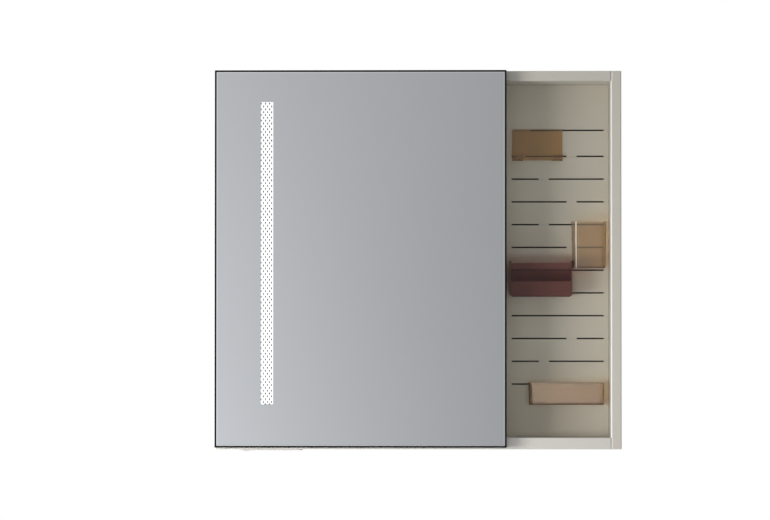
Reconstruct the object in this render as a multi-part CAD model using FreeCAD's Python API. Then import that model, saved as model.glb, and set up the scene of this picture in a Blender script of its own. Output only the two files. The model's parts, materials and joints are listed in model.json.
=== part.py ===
import FreeCAD, Part
import math
import os

# A wall cabinet with a mirror door that slides sideways in front of it.
# Sizes are in millimetres. X runs to the right as seen from the front, Z is up and the front faces -Y.
# The origin is the centre of the four wall holes, on the plane of the wall.

# Cabinet body
cabinet_width = 750.0
cabinet_height = 700.0
body_depth = 120.0
open_width = 212.5
side_thickness = 20.0
side_front_round = 2.8
side_edge_round = 1.0
profile_wall = 1.8
side_web_shares = [0.14, 0.56]
cap_thickness = 1.5
top_height = 18.3
bottom_height = 21.2
rail_edge_round = 0.8
rail_web_share = 0.08
rear_web_share = 0.66

# Partition between the open bay and the space behind the mirror
partition_thickness = 15.0
partition_cover = 2.0
partition_front_setback = 3.0
partition_front_round = 2.0
partition_wall = 1.5
notch_height = 8.0
notch_depth = 22.0

# Back sheet and wall plates
wall_recess = 3.0
back_thickness = 3.0
wall_hole_radius = 4.0
wall_hole_inset_x = 75.0
wall_hole_inset_z = 60.0
bracket_width = 60.0
bracket_height = 40.0
bracket_round = 4.0
rivet_radius = 2.0
rivet_head_radius = 3.5
rivet_head_height = 1.0
rivet_offset = 21.0

# Slotted panel of the bay
panel_cavity = 12.0
panel_sheet = 1.5
panel_clearance = 0.3
slot_height = 2.8
slot_margin_left = 12.5
slot_margin_right = 9.0
slot_short = 51.0
slot_bridge = 18.8
first_slot_drop = 85.4
first_slot_step = 48.9
last_slot_rise = 98.2
slot_row_kinds = ["full", "long_short", "short_long", "long_short", "short_long", "long_short",
                  "full", "short_long", "full", "long_short", "short_long", "full"]
block_width = 22.0
block_height = 12.0
block_inset = 4.0

# Shelves behind the mirror
shelf_thickness = 5.0
shelf_front_setback = 14.0
shelf_end_clearance = 1.5
shelf_back_clearance = 2.0
shelf_corner_round = 6.0
shelf_count = 2
pin_radius = 2.5
pin_bore_clearance = 0.05
pin_pad_length = 9.0
pin_pad_width = 8.0
pin_pad_thickness = 2.0
pin_flange_radius = 5.0
pin_flange_thickness = 1.2
pin_tail = 6.0
pin_edge_distance = 24.0
pin_hole_pitch = 32.0
pin_hole_count = 3

# Roller channel in the underside of the top
channel_front_wall = 6.0
channel_width = 21.0
channel_slot = 6.0
channel_lip = 1.8

# Wheels, axles and hangers
wheel_radius = 6.5
wheel_width = 5.0
wheel_edge_round = 0.6
wheel_hub_radius = 3.6
wheel_hub_length = 2.6
wheel_lip_gap = 0.3
axle_radius = 2.0
axle_running_clearance = 0.05
axle_spacing = 36.0
axle_end_overhang = 0.5
wheel_wall_gap = 1.0
hanger_plate = 2.0
hanger_length = 50.0
hanger_leg = 34.0
hanger_arm_drop = 2.2
hanger_head_rise = 5.0
hanger_corner_round = 4.0
hanger_door_inset = 80.0
hanger_hole_spacing = 30.0
hanger_screw_radius = 2.0
hanger_screw_head = 3.8
hanger_screw_head_height = 1.0
stop_length = 14.0
stop_width = 4.0
stop_height = 11.0
stop_gap = 0.3

# Mirror door
door_top_drop = 1.0
door_foot_rise = 3.9
door_gap = 3.0
door_thickness = 34.0
frame_wall = 2.8
frame_chamfer = 0.5
frame_sheet = 1.5
seat_depth = 10.0
mirror_inset = 0.3
mirror_thickness = 4.0
mirror_bevel = 1.6
mirror_bevel_depth = 0.5
mirror_side_clearance = 0.1
back_plate_thickness = 1.5
back_plate_recess = 0.5
back_plate_clearance = 0.2
guide_slot = 6.0
guide_lip = 1.4
guide_channel_height = 10.2
guide_channel_depth = 6.0
guide_wall = 1.5
guide_ledge = 4.0
plate_screw_radius = 1.5
plate_screw_head = 2.8
plate_screw_head_height = 0.8
plate_screw_inset = 7.0
plate_screw_shares = [0.12, 0.5, 0.88]
corner_key_leg = 26.0
corner_key_width = 7.0
corner_key_clearance = 0.15
hanger_bar_thickness = 3.0
hanger_bar_height = 28.0
gland_radius = 5.0
gland_flange_radius = 8.0
gland_flange = 2.0
gland_bore = 2.5
gland_from_edge = 60.0
gland_from_top = 99.0

# Guides at the foot of the door
guide_count = 2
guide_inset = 62.5
guide_stem_radius = 2.5
guide_head_radius = 4.7
guide_head_thickness = 2.5
guide_head_gap = 1.0
guide_root_length = 8.0
guide_flange_radius = 6.0
guide_flange = 1.5

# Light strip etched in the mirror and the lamp behind it
strip_from_left = 85.1
strip_from_top = 58.7
strip_from_foot = 79.5
strip_width = 22.8
strip_film = 0.2
dot_width = 2.3
dot_height = 5.0
dot_columns_count = 5
dot_column_step = 3.73
dot_first_column = 4.8
dot_row_step = 10.47
dot_end_margin = 0.4
dot_edge_notch = 1.8
dot_foot_notch = 2.4
strip_foot_round = 1.6
lamp_channel_width = 27.0
lamp_channel_depth = 12.0
lamp_channel_wall = 1.5
lamp_ledge = 1.5
lamp_end_margin = 4.0
diffuser_thickness = 2.0
diffuser_clearance = 0.2
board_width = 12.0
board_thickness = 1.6
chip_count = 28
chip_width = 2.8
chip_length = 3.5
chip_height = 0.8

# Supply behind the slotted panel and the inlet of the mains lead
driver_length = 92.0
driver_width = 36.0
driver_lug_gap = 0.5
driver_round = 2.0
driver_from_partition = 12.0
driver_under_block = 8.0
driver_ear = 9.0
driver_ear_thickness = 2.0
driver_screw_radius = 1.8
driver_screw_length = 4.6
driver_screw_head = 3.2
driver_screw_head_height = 1.2
grommet_from_partition = 61.5
grommet_from_top = 109.7
grommet_bore = 5.0
grommet_flange_radius = 10.0
grommet_neck_radius = 7.0
grommet_flange = 1.4

# Switch module under the cabinet
module_from_side = 43.0
module_width = 114.0
module_depth = 60.0
module_front = 15.0
module_flange = 2.6
module_round = 5.0
module_body_inset = 7.0
module_body_height = 12.0
module_wall = 1.6
module_clearance = 0.2
lens_radius = 8.0
lens_drop = 1.8
lens_neck_radius = 6.0
lens_inset = 10.0
lens_crown_radius = 4.0
module_board_thickness = 1.6
module_board_gap = 3.0

# Blocks and screws that join the sides with the top and the bottom
key_length = 26.0
key_clearance = 0.15
key_screw_radius = 2.0
key_screw_head = 3.8
key_screw_head_height = 2.0
key_screw_length = 16.0
key_screw_spacing = 12.0

# Accessories hooked into the slots
tongue_thickness = 2.2
tongue_lug = 5.0
tongue_lug_thickness = 1.7
accessory_gap = 0.3
accessory_wall = 2.5

rows_above_hook_count = 0
hook_from_slots = 1.0
hook_width = 94.6
hook_drop = 58.0
hook_plate_thickness = 2.5
hook_tab_width = 20.0
hook_tab_height = 11.0
hook_tab_reach = 14.0
hook_bend = 3.4
hook_tongue_inset = 8.0

rows_above_holder_count = 4
holder_past_slots = 3.0
holder_width = 64.6
holder_rise = 3.9
holder_height = 87.0
holder_reach = 62.0
holder_corner = 12.5
holder_back_corner = 2.0
holder_draft = 1.5
holder_floor = 3.0
holder_tongue_inset = 10.0

rows_above_organiser_count = 6
organiser_past_slots = 4.0
organiser_side_gap = 0.8
organiser_rise = 16.0
organiser_height = 67.0
organiser_reach = 60.0
organiser_corner = 6.0
organiser_shelf_drop = 12.9
organiser_shelf = 3.0
organiser_lip = 9.2
organiser_window = 22.4
organiser_divider = 3.5
organiser_divider_share = 0.585
organiser_divider_drop = 3.6
organiser_tongue_width = 22.0
organiser_tongue_inset = 9.0

rows_above_tray_count = 11
tray_from_slots = 30.4
tray_from_slot_end = 0.9
tray_rise = 3.3
tray_height = 41.4
tray_reach = 65.0
tray_corner = 8.0
tray_back_corner = 2.0
tray_draft = 1.2
tray_floor = 3.0
tray_tongue_inset = 10.0

# Overrun of every cut past the face that it leaves, and the least length of an edge
overrun = 5.0
least_edge = 1e-6

# Faces and planes that several pieces share
half_width = cabinet_width / 2
half_height = cabinet_height / 2
side_inner = half_width - side_thickness
top_under = half_height - top_height
bottom_over = -half_height + bottom_height
door_left = -half_width
door_right = half_width - open_width
door_width = door_right - door_left
door_top = half_height - door_top_drop
door_bottom = -half_height + door_foot_rise
door_height = door_top - door_bottom
partition_right = door_right - partition_cover
partition_left = partition_right - partition_thickness
back_front = -wall_recess - back_thickness
panel_rear = back_front - panel_cavity
panel_front = panel_rear - panel_sheet
panel_left = partition_right + panel_clearance
panel_right = side_inner - panel_clearance
slot_field_left = partition_right + slot_margin_left
slot_field_right = side_inner - slot_margin_right
slot_step = ((top_under - bottom_over - first_slot_drop - first_slot_step - last_slot_rise)
             / (len(slot_row_kinds) - 2))
driver_depth = panel_cavity - accessory_gap - tongue_lug_thickness - driver_lug_gap
driver_top = top_under - panel_sheet - block_inset - block_height - driver_under_block
driver_centre_x = partition_right + driver_from_partition + driver_width / 2
driver_centre_z = driver_top - driver_ear - driver_length / 2
grommet_x = partition_right + grommet_from_partition
grommet_z = top_under - grommet_from_top
module_left = -half_width + module_from_side
shelf_front = -body_depth + shelf_front_setback
shelf_back = back_front - shelf_back_clearance
door_rear = -body_depth - door_gap
door_front = door_rear - door_thickness
mirror_front = door_front + mirror_inset
mirror_rear = mirror_front + mirror_thickness
seat_rear = mirror_rear + frame_sheet
back_plate_rear = door_rear - back_plate_recess
back_plate_front = back_plate_rear - back_plate_thickness
back_seat_front = back_plate_front - frame_sheet
channel_front = -body_depth + channel_front_wall
channel_rear = channel_front + channel_width
slot_middle = (channel_front + channel_rear) / 2
channel_floor = top_under + channel_lip
channel_roof = half_height - profile_wall
axle_height = channel_floor + wheel_lip_gap + wheel_radius
guide_height = door_bottom + frame_wall + guide_channel_height / 2
guide_web_front = door_rear - guide_channel_depth - guide_wall
strip_left = door_left + strip_from_left
strip_top = door_top - strip_from_top
strip_bottom = door_bottom + strip_from_foot
strip_height = strip_top - strip_bottom
strip_middle = strip_left + strip_width / 2
accessory_back = panel_front - accessory_gap
lug_front = panel_rear + accessory_gap
lug_back = lug_front + tongue_lug_thickness
hanger_centres = [door_left + hanger_door_inset, door_right - hanger_door_inset]
hook_left = slot_field_left + hook_from_slots
holder_left = slot_field_right + holder_past_slots - holder_width
organiser_left = slot_field_left - organiser_past_slots
organiser_right = holder_left + holder_draft - organiser_side_gap
tray_left = slot_field_left + tray_from_slots
tray_right = slot_field_right - tray_from_slot_end


def box(x_pair, y_pair, z_pair):
    """A block between two values along each axis."""
    corner = FreeCAD.Vector(min(x_pair), min(y_pair), min(z_pair))
    sizes = [max(pair) - min(pair) for pair in (x_pair, y_pair, z_pair)]
    return Part.makeBox(sizes[0], sizes[1], sizes[2], corner)


def in_plan(z):
    """Places a flat point (x, y) at the height z."""
    return lambda point: FreeCAD.Vector(point.x, point.y, z)


def in_front_view(y):
    """Places a flat point (x, z) at the depth y."""
    return lambda point: FreeCAD.Vector(point.x, y, point.y)


def in_section(x):
    """Places a flat point (y, z) at the width x."""
    return lambda point: FreeCAD.Vector(x, point.x, point.y)


def outline(corners, place):
    """A closed wire through flat corners (a, b, radius); a corner with a radius is an arc."""
    starts = []
    middles = []
    ends = []
    for index, (a, b, radius) in enumerate(corners):
        corner = FreeCAD.Vector(a, b, 0)
        before = FreeCAD.Vector(corners[index - 1][0], corners[index - 1][1], 0)
        after_index = (index + 1) % len(corners)
        after = FreeCAD.Vector(corners[after_index][0], corners[after_index][1], 0)
        back = (before - corner).normalize()
        ahead = (after - corner).normalize()
        if radius:
            half_angle = back.getAngle(ahead) / 2
            reach = radius / math.tan(half_angle)
            inward = (back + ahead).normalize()
            centre = corner + inward * (radius / math.sin(half_angle))
            starts.append(place(corner + back * reach))
            middles.append(place(centre - inward * radius))
            ends.append(place(corner + ahead * reach))
        else:
            starts.append(place(corner))
            middles.append(None)
            ends.append(place(corner))
    edges = []
    for index, start in enumerate(starts):
        if middles[index]:
            edges.append(Part.Arc(start, middles[index], ends[index]).toShape())
        onward = starts[(index + 1) % len(starts)]
        if ends[index].distanceToPoint(onward) > least_edge:
            edges.append(Part.LineSegment(ends[index], onward).toShape())
    return Part.Wire(edges)


def plate(corners, place, direction, holes=()):
    """An outline extruded along a vector, less other outlines of the same plane."""
    wires = [outline(corners, place)] + [outline(hole, place) for hole in holes]
    face = Part.makeFace(wires, "Part::FaceMakerBullseye")
    return face.extrude(direction)


def rectangle(a_pair, b_pair, radius=0):
    """The corners of a rectangle, each with the same radius."""
    low_a, high_a = min(a_pair), max(a_pair)
    low_b, high_b = min(b_pair), max(b_pair)
    return [(low_a, low_b, radius), (high_a, low_b, radius),
            (high_a, high_b, radius), (low_a, high_b, radius)]


def rod(radius, start, direction, length):
    """A cylinder from a point along a direction."""
    return Part.makeCylinder(radius, length, start, direction)


def along_x(length):
    return FreeCAD.Vector(length, 0, 0)


def along_y(length):
    return FreeCAD.Vector(0, length, 0)


def along_z(length):
    return FreeCAD.Vector(0, 0, length)


x_axis = FreeCAD.Vector(1, 0, 0)
y_axis = FreeCAD.Vector(0, 1, 0)
z_axis = FreeCAD.Vector(0, 0, 1)


def turned(profile, start, axis):
    """A solid of revolution about an axis: the profile's points are (distance along, radius)."""
    across = x_axis if axis.z else z_axis
    points = [start + axis * along + across * radius for along, radius in profile]
    face = Part.Face(Part.makePolygon(points + [points[0]]))
    return face.revolve(start, axis, 360)


def screw(head_point, direction, head_radius, head_height, shank_radius, shank_length):
    """A screw with a flat round head; its shank runs along the direction from under the head."""
    head = rod(head_radius, head_point, direction * -1, head_height)
    shank = rod(shank_radius, head_point, direction, shank_length)
    return head.fuse(shank).removeSplitter()


def group(solids):
    return Part.makeCompound(solids)


def mirrored_in_x(shape):
    return shape.mirror(FreeCAD.Vector(0, 0, 0), x_axis)


# Cabinet body

def side_outline():
    return [(side_inner, -body_depth, side_front_round), (half_width, -body_depth, side_edge_round),
            (half_width, 0, 0), (side_inner, 0, 0)]


def side_chambers():
    """The hollow spaces of a side profile, from the front to the back."""
    first = -body_depth + profile_wall
    webs = [-body_depth * (1 - share) for share in side_web_shares]
    starts = [first] + [web + profile_wall / 2 for web in webs]
    ends = [web - profile_wall / 2 for web in webs] + [-profile_wall]
    x_pair = (side_inner + profile_wall, half_width - profile_wall)
    return [rectangle(x_pair, (start, end)) for start, end in zip(starts, ends)]


def side_panel():
    """The right-hand side post, open at both ends."""
    low = -half_height + cap_thickness
    high = half_height - cap_thickness
    return plate(side_outline(), in_plan(low), along_z(high - low), side_chambers())


def shelf_heights():
    """The underside of each shelf."""
    clear = top_under - bottom_over
    step = clear / (shelf_count + 1)
    return [bottom_over + step * (index + 1) - shelf_thickness / 2 for index in range(shelf_count)]


def pin_rows():
    """The two rows of shelf pin holes, as places along Y."""
    return [shelf_front + pin_edge_distance, shelf_back - pin_edge_distance]


def pin_holes(face_x, direction):
    """Cutters for the shelf pin holes that go into a wall from its face."""
    start_x = face_x - direction * overrun
    cutters = []
    middle = (pin_hole_count - 1) / 2
    for height in shelf_heights():
        for row in pin_rows():
            for index in range(pin_hole_count):
                z = height - pin_pad_thickness - pin_radius + (index - middle) * pin_hole_pitch
                start = FreeCAD.Vector(start_x, row, z)
                length = overrun + pin_tail
                cutters.append(rod(pin_radius + pin_bore_clearance, start, x_axis * direction, length))
    return group(cutters)


def key_middles():
    """Where the corner keys of the top and of the bottom lie: (y range, z range)."""
    web = -body_depth * (1 - rear_web_share)
    y_pair = (web + profile_wall / 2 + key_clearance, -profile_wall - key_clearance)
    top_pair = (top_under + profile_wall + key_clearance, channel_roof - key_clearance)
    bottom_pair = (-half_height + profile_wall + key_clearance, bottom_over - profile_wall - key_clearance)
    return [(y_pair, top_pair), (y_pair, bottom_pair)]


def key_screw_points():
    """Where the screws of the right-hand corner keys enter the side's inner wall."""
    points = []
    for y_pair, z_pair in key_middles():
        y_middle = sum(y_pair) / 2
        for sign in (-1, 1):
            y = y_middle + sign * key_screw_spacing / 2
            points.append(FreeCAD.Vector(side_inner + profile_wall, y, sum(z_pair) / 2))
    return points


def key_screw_holes():
    cutters = []
    for point in key_screw_points():
        start = point + along_x(overrun)
        cutters.append(rod(key_screw_radius, start, x_axis * -1, overrun + key_screw_length))
    return group(cutters)


def side_panel_right():
    return side_panel().cut(key_screw_holes())


def side_panel_left():
    plain = mirrored_in_x(side_panel_right())
    return plain.cut(pin_holes(-side_inner, -1))


def side_end_caps():
    caps = []
    for low in (-half_height, half_height - cap_thickness):
        cap = plate(side_outline(), in_plan(low), along_z(cap_thickness))
        caps += [cap, mirrored_in_x(cap)]
    return group(caps)


def top_panel():
    """The top: plain fascia, roller channel with two lips on its underside, hollow behind."""
    corners = [(-body_depth, top_under, rail_edge_round), (-body_depth, half_height, rail_edge_round),
               (0, half_height, 0), (0, top_under, 0),
               (channel_rear + profile_wall, top_under, 0),
               (slot_middle + channel_slot / 2, top_under, 0),
               (slot_middle + channel_slot / 2, channel_floor, 0), (channel_rear, channel_floor, 0),
               (channel_rear, channel_roof, 0), (channel_front, channel_roof, 0),
               (channel_front, channel_floor, 0), (slot_middle - channel_slot / 2, channel_floor, 0),
               (slot_middle - channel_slot / 2, top_under, 0)]
    web = -body_depth * (1 - rear_web_share)
    z_pair = (top_under + profile_wall, channel_roof)
    front_chamber = rectangle((-body_depth + profile_wall, channel_front - profile_wall), z_pair)
    middle_chamber = rectangle((channel_rear + profile_wall, web - profile_wall / 2), z_pair)
    rear_chamber = rectangle((web + profile_wall / 2, -profile_wall), z_pair)
    holes = [front_chamber, middle_chamber, rear_chamber]
    return plate(corners, in_section(-side_inner), along_x(2 * side_inner), holes)


def module_body_box(margin):
    """The part of the switch module that stands up into the bottom panel."""
    x_pair = (module_left + module_body_inset - margin,
              module_left + module_width - module_body_inset + margin)
    front = -body_depth + module_front
    y_pair = (front + module_body_inset - margin, front + module_depth - module_body_inset + margin)
    z_pair = (-half_height - margin, -half_height + module_body_height + margin)
    return x_pair, y_pair, z_pair


def guide_points():
    """The centres of the guide buttons, spread over the stretch that the door always covers."""
    first = door_left + open_width + guide_inset
    step = (door_right - guide_inset - first) / (guide_count - 1)
    return [FreeCAD.Vector(first + index * step, -body_depth, guide_height)
            for index in range(guide_count)]


def bottom_panel():
    web = -body_depth * (1 - rear_web_share)
    front_web = -body_depth * (1 - rail_web_share)
    corners = [(-body_depth, -half_height, rail_edge_round), (-body_depth, bottom_over, rail_edge_round),
               (0, bottom_over, 0), (0, -half_height, 0)]
    z_pair = (-half_height + profile_wall, bottom_over - profile_wall)
    chambers = [rectangle((-body_depth + profile_wall, front_web - profile_wall / 2), z_pair),
                rectangle((front_web + profile_wall / 2, web - profile_wall / 2), z_pair),
                rectangle((web + profile_wall / 2, -profile_wall), z_pair)]
    solid = plate(corners, in_section(-side_inner), along_x(2 * side_inner), chambers)
    x_pair, y_pair, z_pair = module_body_box(module_clearance)
    solid = solid.cut(box(x_pair, y_pair, (-half_height - overrun, z_pair[1])))
    for point in guide_points():
        solid = solid.cut(rod(guide_stem_radius, point - along_y(overrun), y_axis,
                              overrun + guide_root_length))
    return solid


def corner_keys():
    keys = []
    for y_pair, z_pair in key_middles():
        key = box((side_inner - key_length, side_inner), y_pair, z_pair)
        key = key.cut(key_screw_holes())
        keys += [key, mirrored_in_x(key)]
    return group(keys)


def corner_screws():
    screws = []
    for point in key_screw_points():
        one = screw(point, x_axis * -1, key_screw_head, key_screw_head_height,
                    key_screw_radius, key_screw_length)
        screws += [one, mirrored_in_x(one)]
    return group(screws)


def partition():
    """A hollow wall, cut back at the top of its front edge so that the hangers pass."""
    front = -body_depth + partition_front_setback
    corners = [(partition_left, front, partition_front_round),
               (partition_right, front, partition_front_round),
               (partition_right, back_front, 0), (partition_left, back_front, 0)]
    x_pair = (partition_left + partition_wall, partition_right - partition_wall)
    y_pair = (front + partition_wall, back_front - partition_wall)
    solid = plate(corners, in_plan(bottom_over), along_z(top_under - bottom_over),
                  [rectangle(x_pair, y_pair)])
    notch = box((partition_left - overrun, partition_right + overrun), (front - overrun, front + notch_depth),
                (top_under - notch_height, top_under + overrun))
    return solid.cut(notch).cut(pin_holes(partition_left, 1))


# Back sheet and wall plates

def wall_hole_points():
    x = half_width - wall_hole_inset_x
    z = half_height - wall_hole_inset_z
    return [FreeCAD.Vector(x_sign * x, 0, z_sign * z) for x_sign in (-1, 1) for z_sign in (-1, 1)]


def rivet_points():
    return [point + along_x(sign * rivet_offset) for point in wall_hole_points() for sign in (-1, 1)]


def wall_side_holes():
    """Cutters for the wall holes and the rivets, through the plates and the back sheet."""
    length = wall_recess + back_thickness + 2 * overrun
    cutters = []
    for point in wall_hole_points():
        cutters.append(rod(wall_hole_radius, point + along_y(overrun), y_axis * -1, length))
    for point in rivet_points():
        cutters.append(rod(rivet_radius, point + along_y(overrun), y_axis * -1, length))
    return group(cutters)


def back_panel():
    sheet = box((-side_inner, side_inner), (back_front, -wall_recess), (bottom_over, top_under))
    inlet_start = FreeCAD.Vector(grommet_x, overrun, grommet_z)
    inlet = rod(grommet_neck_radius, inlet_start, y_axis * -1, -back_front + 2 * overrun)
    return sheet.cut(wall_side_holes()).cut(inlet).cut(driver_screw_holes())


def wall_brackets():
    plates = []
    for point in wall_hole_points():
        x_pair = (point.x - bracket_width / 2, point.x + bracket_width / 2)
        z_pair = (point.z - bracket_height / 2, point.z + bracket_height / 2)
        plates.append(plate(rectangle(x_pair, z_pair, bracket_round), in_front_view(-wall_recess),
                            along_y(wall_recess)))
    return group([one.cut(wall_side_holes()) for one in plates])


def bracket_rivets():
    rivets = []
    for point in rivet_points():
        head_point = point + along_y(back_front)
        rivets.append(screw(head_point, y_axis, rivet_head_radius, rivet_head_height,
                            rivet_radius, back_thickness + wall_recess))
    return group(rivets)


def cable_grommet():
    """A ring with a groove that holds the edge of the back sheet's hole."""
    near = -wall_recess + grommet_flange
    far = back_front - grommet_flange
    profile = [(0, grommet_bore), (0, grommet_flange_radius), (grommet_flange, grommet_flange_radius),
               (grommet_flange, grommet_neck_radius), (near - far - grommet_flange, grommet_neck_radius),
               (near - far - grommet_flange, grommet_flange_radius), (near - far, grommet_flange_radius),
               (near - far, grommet_bore)]
    return turned(profile, FreeCAD.Vector(grommet_x, far, grommet_z), y_axis)


# Slotted panel of the bay

def slot_heights():
    heights = [top_under - first_slot_drop]
    while len(heights) < len(slot_row_kinds):
        step = first_slot_step if len(heights) == 1 else slot_step
        heights.append(heights[-1] - step)
    return heights


def slot_spans(kind):
    """Where the slots of a row run along X."""
    left = slot_field_left
    right = slot_field_right
    if kind == "full":
        return [(left, right)]
    if kind == "long_short":
        return [(left, right - slot_short - slot_bridge), (right - slot_short, right)]
    return [(left, left + slot_short), (left + slot_short + slot_bridge, right)]


def slotted_panel():
    z_pair = (bottom_over + panel_clearance, top_under - panel_clearance)
    pan = box((panel_left, panel_right), (panel_front, back_front), z_pair)
    inner = box((panel_left + panel_sheet, panel_right - panel_sheet), (panel_rear, back_front + overrun),
                (z_pair[0] + panel_sheet, z_pair[1] - panel_sheet))
    pan = pan.cut(inner)
    slots = []
    for height, kind in zip(slot_heights(), slot_row_kinds):
        for span in slot_spans(kind):
            slots.append(box(span, (panel_front - overrun, panel_rear + panel_sheet),
                             (height - slot_height / 2, height + slot_height / 2)))
    return pan.cut(group(slots))


def panel_blocks():
    """Spacers in the corners of the pan, between the slotted sheet and the back sheet."""
    blocks = []
    inset = panel_sheet + block_inset
    for x in (panel_left + inset, panel_right - inset - block_width):
        for z in (bottom_over + inset, top_under - inset - block_height):
            blocks.append(box((x, x + block_width), (panel_rear, back_front), (z, z + block_height)))
    return group(blocks)


def driver_screw_points():
    """The screws of the supply, on the front faces of its ears."""
    reach = (driver_length + driver_ear) / 2
    return [FreeCAD.Vector(driver_centre_x, back_front - driver_ear_thickness, driver_centre_z + sign * reach)
            for sign in (-1, 1)]


def driver_screw_holes():
    return group([rod(driver_screw_radius, point - along_y(overrun), y_axis, overrun + driver_screw_length)
                  for point in driver_screw_points()])


def driver_screws():
    return group([screw(point, y_axis, driver_screw_head, driver_screw_head_height,
                        driver_screw_radius, driver_screw_length) for point in driver_screw_points()])


def led_driver():
    """A flat upright supply with a screw ear at each end, clear of the lugs that slide past it."""
    x_pair = (driver_centre_x - driver_width / 2, driver_centre_x + driver_width / 2)
    z_pair = (driver_centre_z - driver_length / 2, driver_centre_z + driver_length / 2)
    case = plate(rectangle(x_pair, z_pair, driver_round), in_front_view(back_front),
                 along_y(-driver_depth))
    ear_x = (driver_centre_x - driver_ear, driver_centre_x + driver_ear)
    for z, sign in ((z_pair[0], -1), (z_pair[1], 1)):
        ear = box(ear_x, (back_front - driver_ear_thickness, back_front), (z, z + sign * driver_ear))
        case = case.fuse(ear)
    return case.removeSplitter().cut(driver_screw_holes())


# Shelves behind the mirror

def glass_shelf(height):
    x_pair = (-side_inner + shelf_end_clearance, partition_left - shelf_end_clearance)
    corners = [(x_pair[0], shelf_front, shelf_corner_round), (x_pair[1], shelf_front, shelf_corner_round),
               (x_pair[1], shelf_back, 0), (x_pair[0], shelf_back, 0)]
    return plate(corners, in_plan(height), along_z(shelf_thickness))


def shelf_pin(face_x, direction, row, height):
    """A pin with a flat pad that carries the shelf; its tail sits in the wall."""
    z = height - pin_pad_thickness - pin_radius
    tail_start = FreeCAD.Vector(face_x, row, z)
    tail = rod(pin_radius, tail_start, x_axis * direction, pin_tail)
    flange = rod(pin_flange_radius, tail_start, x_axis * -direction, pin_flange_thickness)
    top = height
    pad_x = (face_x - direction * pin_flange_thickness, face_x - direction * pin_pad_length)
    pad = box(pad_x, (row - pin_pad_width / 2, row + pin_pad_width / 2), (top - pin_pad_thickness, top))
    trim = box((face_x - overrun - pin_pad_length, face_x + overrun + pin_pad_length),
               (row - 2 * pin_flange_radius, row + 2 * pin_flange_radius), (top, top + overrun))
    return tail.fuse(flange).fuse(pad).cut(trim).removeSplitter()


def shelf_pins():
    pins = []
    for height in shelf_heights():
        for row in pin_rows():
            pins.append(shelf_pin(-side_inner, -1, row, height))
            pins.append(shelf_pin(partition_left, 1, row, height))
    return group(pins)


# Hangers, wheels and their channel

def hanger(centre_x):
    """A bent plate: down the back of the door, under the fascia and up into the channel."""
    x_pair = (centre_x - hanger_length / 2, centre_x + hanger_length / 2)
    arm_top = top_under - hanger_arm_drop
    arm_low = arm_top - hanger_plate
    leg_rear = back_plate_rear + hanger_plate
    web_front = slot_middle - hanger_plate / 2
    web_rear = slot_middle + hanger_plate / 2
    head = axle_height + hanger_head_rise
    corners = [(back_plate_rear, arm_top - hanger_leg, 0), (leg_rear, arm_top - hanger_leg, 0),
               (leg_rear, arm_low, 0), (web_rear, arm_low, 0), (web_rear, head, 0),
               (web_front, head, 0), (web_front, arm_top, 0), (back_plate_rear, arm_top, 0)]
    solid = plate(corners, in_section(x_pair[0]), along_x(hanger_length))
    rounded = rectangle(x_pair, (arm_top - hanger_leg, head), hanger_corner_round)
    depth = web_rear - back_plate_rear
    solid = solid.common(plate(rounded, in_front_view(back_plate_rear), along_y(depth)))
    for x in axle_places(centre_x):
        start = FreeCAD.Vector(x, web_front - overrun, axle_height)
        length = hanger_plate + 2 * overrun
        solid = solid.cut(rod(axle_radius + axle_running_clearance, start, y_axis, length))
    return solid.cut(hanger_screw_holes())


def axle_places(centre_x):
    return [centre_x - axle_spacing / 2, centre_x + axle_spacing / 2]


def hanger_screw_points():
    """The screws of both hangers, on the rear face of the hanger's leg."""
    z = bar_middle()
    return [FreeCAD.Vector(centre + sign * hanger_hole_spacing / 2, back_plate_rear + hanger_plate, z)
            for centre in hanger_centres for sign in (-1, 1)]


def bar_middle():
    """The height of the middle of the bar that the hangers are screwed to."""
    return top_under - hanger_arm_drop - hanger_leg + hanger_bar_height / 2


def hanger_screw_length():
    return hanger_plate + back_plate_thickness + hanger_bar_thickness


def hanger_screw_holes():
    cutters = []
    for point in hanger_screw_points():
        start = point + along_y(overrun)
        cutters.append(rod(hanger_screw_radius, start, y_axis * -1, overrun + hanger_screw_length()))
    return group(cutters)


def hanger_screws():
    return group([screw(point, y_axis * -1, hanger_screw_head, hanger_screw_head_height,
                        hanger_screw_radius, hanger_screw_length())
                  for point in hanger_screw_points()])


def hanger_bar():
    """A steel flat behind the back plate, from one frame side to the other."""
    z = bar_middle()
    bar = box((door_left + seat_depth, door_right - seat_depth),
              (back_plate_front - hanger_bar_thickness, back_plate_front),
              (z - hanger_bar_height / 2, z + hanger_bar_height / 2))
    return bar.cut(hanger_screw_holes())


def wheel_profile():
    """Half a wheel, as (distance along its axle, radius), from its rim towards the hanger."""
    bevel = wheel_edge_round
    return [(0, axle_radius), (0, wheel_radius - bevel), (bevel, wheel_radius),
            (wheel_width - bevel, wheel_radius), (wheel_width, wheel_radius - bevel),
            (wheel_width, wheel_hub_radius), (wheel_width + wheel_hub_length, wheel_hub_radius),
            (wheel_width + wheel_hub_length, axle_radius)]


def roller_wheels(x):
    """The two wheels of an axle, one on each lip of the channel."""
    front_start = FreeCAD.Vector(x, channel_front + wheel_wall_gap, axle_height)
    rear_start = FreeCAD.Vector(x, channel_rear - wheel_wall_gap, axle_height)
    front_wheel = turned(wheel_profile(), front_start, y_axis)
    rear_wheel = turned(wheel_profile(), rear_start, y_axis * -1)
    return group([front_wheel, rear_wheel])


def roller_axle(x):
    start_y = channel_front + wheel_wall_gap - axle_end_overhang
    length = channel_rear - channel_front - 2 * wheel_wall_gap + 2 * axle_end_overhang
    return rod(axle_radius, FreeCAD.Vector(x, start_y, axle_height), y_axis, length)


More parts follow.
